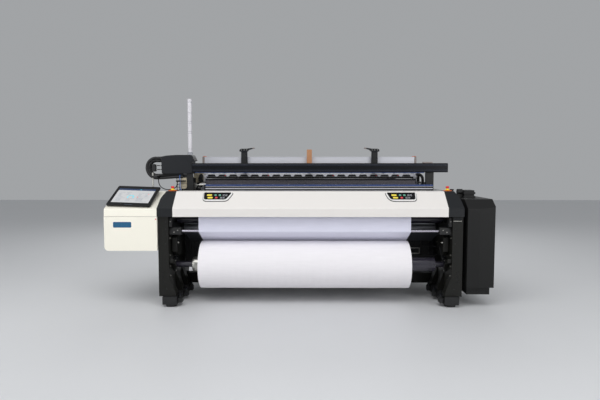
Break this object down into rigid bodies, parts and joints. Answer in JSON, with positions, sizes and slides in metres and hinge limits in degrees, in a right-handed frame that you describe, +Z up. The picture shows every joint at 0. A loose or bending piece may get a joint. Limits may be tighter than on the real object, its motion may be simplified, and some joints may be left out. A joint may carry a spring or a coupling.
{
  "type": "power loom",
  "caption": "Air-jet power loom with a front cloth roll, rear warp beam, swinging reed, sliding heald frames, control box and drive cabinet.",
  "frame": {"origin": "floor under the middle of the bounding box", "axes": "+X along the reed to the drive side, +Y to the warp beam at the back, +Z up"},
  "size_m": [3.16, 1.7999, 1.745],
  "materials": {
    "frame_paint": "satin",
    "foot_iron": "satin",
    "cover_white": "satin",
    "fairing_charcoal": "satin",
    "control_cream": "satin",
    "badge_teal": "gloss",
    "screen_black": "gloss",
    "stand_black": "matt",
    "cabinet_black": "textured",
    "duct_rubber": "matt",
    "conduit_plastic": "matt",
    "cable_rubber": "satin",
    "clamp_steel": "satin",
    "beam_blue_black": "gloss",
    "cable_box_charcoal": "satin",
    "tower_grey": "satin",
    "guide_charcoal": "satin",
    "board_wood": "satin",
    "bar_steel": "satin",
    "roller_rubber": "satin",
    "press_steel": "gloss",
    "core_steel": "gloss",
    "cloth": "matt",
    "guard_black": "satin",
    "sley_alloy": "satin",
    "reed_steel": "satin",
    "nozzle_steel": "satin",
    "temple_steel": "satin",
    "harness_alloy": "satin",
    "guide_plastic": "matt",
    "lift_iron": "satin",
    "warp_beam_alloy": "satin",
    "warp_yarn": "matt",
    "arm_iron": "satin",
    "rest_steel": "gloss",
    "drop_steel": "satin",
    "motor_grey": "satin",
    "stop_orange": "satin",
    "stop_red": "gloss",
    "panel_black": "satin"
  },
  "bodies": {
    "machine": {"badge_plate": "badge_teal", "breast_beam": "frame_paint", "cable_box": "cable_box_charcoal", "cable_clamps": "clamp_steel", "centre_guide_board": "board_wood", "cloth_guard": "guard_black", "cloth_web": "cloth", "conduit_loop": "conduit_plastic", "control_box": "control_cream", "cross_tubes": "frame_paint", "drive_cabinet": "cabinet_black", "drop_wire_unit": "drop_steel", "exhaust_duct": "duct_rubber", "front_cover": "cover_white", "guide_bars": "bar_steel", "harness_drive": "lift_iron", "harness_guides": "guide_plastic", "left_fairing": "fairing_charcoal", "left_frame_guide": "guide_charcoal", "left_key_panel": "panel_black", "left_post": "frame_paint", "left_side_frame": "frame_paint", "left_stop_base": "stop_orange", "let_off_motor": "motor_grey", "levelling_feet": "foot_iron", "lift_box": "lift_iron", "main_motor": "motor_grey", "main_nozzle": "nozzle_steel", "rear_cross_beam": "frame_paint", "right_fairing": "fairing_charcoal", "right_frame_guide": "guide_charcoal", "right_key_panel": "panel_black", "right_post": "frame_paint", "right_side_frame": "frame_paint", "right_stop_base": "stop_orange", "screen_stand": "stand_black", "sensor_cable": "cable_rubber", "signal_tower": "tower_grey", "temple_bar": "temple_steel", "top_beam": "beam_blue_black", "touch_screen": "screen_black"},
    "sley_swing": {"sley": "sley_alloy", "reed": "reed_steel", "relay_nozzles": "nozzle_steel"},
    "take_up": {"take_up_roller": "roller_rubber"},
    "press": {"press_roller": "press_steel"},
    "cloth_winder": {"cloth_beam": "core_steel", "cloth_roll": "cloth"},
    "warp": {"warp_beam": "warp_beam_alloy", "warp_yarn": "warp_yarn"},
    "rest_arms": {"back_rest_arms": "arm_iron"},
    "rest_roller": {"back_rest_roller": "rest_steel"},
    "left_button": {"left_stop_button": "stop_red"},
    "right_button": {"right_stop_button": "stop_red"},
    "harness_1": {"heald_frame_1": "harness_alloy"},
    "harness_2": {"heald_frame_2": "harness_alloy"},
    "harness_3": {"heald_frame_3": "harness_alloy"},
    "harness_4": {"heald_frame_4": "harness_alloy"},
    "harness_5": {"heald_frame_5": "harness_alloy"},
    "harness_6": {"heald_frame_6": "harness_alloy"}
  },
  "joints": [
    {"name": "sley_beat", "type": "hinge", "parent": "machine", "child": "sley_swing", "pos_m": [0.085, -0.38, 0.6], "axis": [1, 0, 0], "range_deg": [-2, 9]},
    {"name": "cloth_spin", "type": "hinge", "parent": "machine", "child": "cloth_winder", "pos_m": [0.085, -0.696, 0.318], "axis": [1, 0, 0], "continuous": true},
    {"name": "take_up_spin", "type": "hinge", "parent": "machine", "child": "take_up", "pos_m": [0.085, -0.57, 0.745], "axis": [1, 0, 0], "continuous": true},
    {"name": "press_spin", "type": "hinge", "parent": "machine", "child": "press", "pos_m": [0.085, -0.66987, 0.69843], "axis": [1, 0, 0], "continuous": true},
    {"name": "warp_spin", "type": "hinge", "parent": "machine", "child": "warp", "pos_m": [0.085, 0.5, 0.48], "axis": [1, 0, 0], "continuous": true},
    {"name": "rest_tilt", "type": "hinge", "parent": "machine", "child": "rest_arms", "pos_m": [0.085, 0.44, 0.94], "axis": [1, 0, 0], "range_deg": [-4, 4], "stiffness_Nm_per_rad": 30000, "springref_deg": 0.5},
    {"name": "rest_spin", "type": "hinge", "parent": "rest_arms", "child": "rest_roller", "pos_m": [0.085, 0.57, 0.945], "axis": [1, 0, 0], "continuous": true},
    {"name": "left_stop_press", "type": "slide", "parent": "machine", "child": "left_button", "axis": [0, 0, -1], "range_m": [0, 0.004], "stiffness_N_per_m": 600},
    {"name": "right_stop_press", "type": "slide", "parent": "machine", "child": "right_button", "axis": [0, 0, -1], "range_m": [0, 0.004], "stiffness_N_per_m": 600},
    {"name": "harness_lift_1", "type": "slide", "parent": "machine", "child": "harness_1", "axis": [0, 0, 1], "range_m": [-0.045, 0.045]},
    {"name": "harness_lift_2", "type": "slide", "parent": "machine", "child": "harness_2", "axis": [0, 0, 1], "range_m": [-0.045, 0.045]},
    {"name": "harness_lift_3", "type": "slide", "parent": "machine", "child": "harness_3", "axis": [0, 0, 1], "range_m": [-0.045, 0.045]},
    {"name": "harness_lift_4", "type": "slide", "parent": "machine", "child": "harness_4", "axis": [0, 0, 1], "range_m": [-0.045, 0.045]},
    {"name": "harness_lift_5", "type": "slide", "parent": "machine", "child": "harness_5", "axis": [0, 0, 1], "range_m": [-0.045, 0.045]},
    {"name": "harness_lift_6", "type": "slide", "parent": "machine", "child": "harness_6", "axis": [0, 0, 1], "range_m": [-0.045, 0.045]}
  ],
  "couplings": [
    {"joint": "take_up_spin", "follows": "cloth_spin", "ratio": -2.6667},
    {"joint": "press_spin", "follows": "cloth_spin", "ratio": 6.0606}
  ]
}
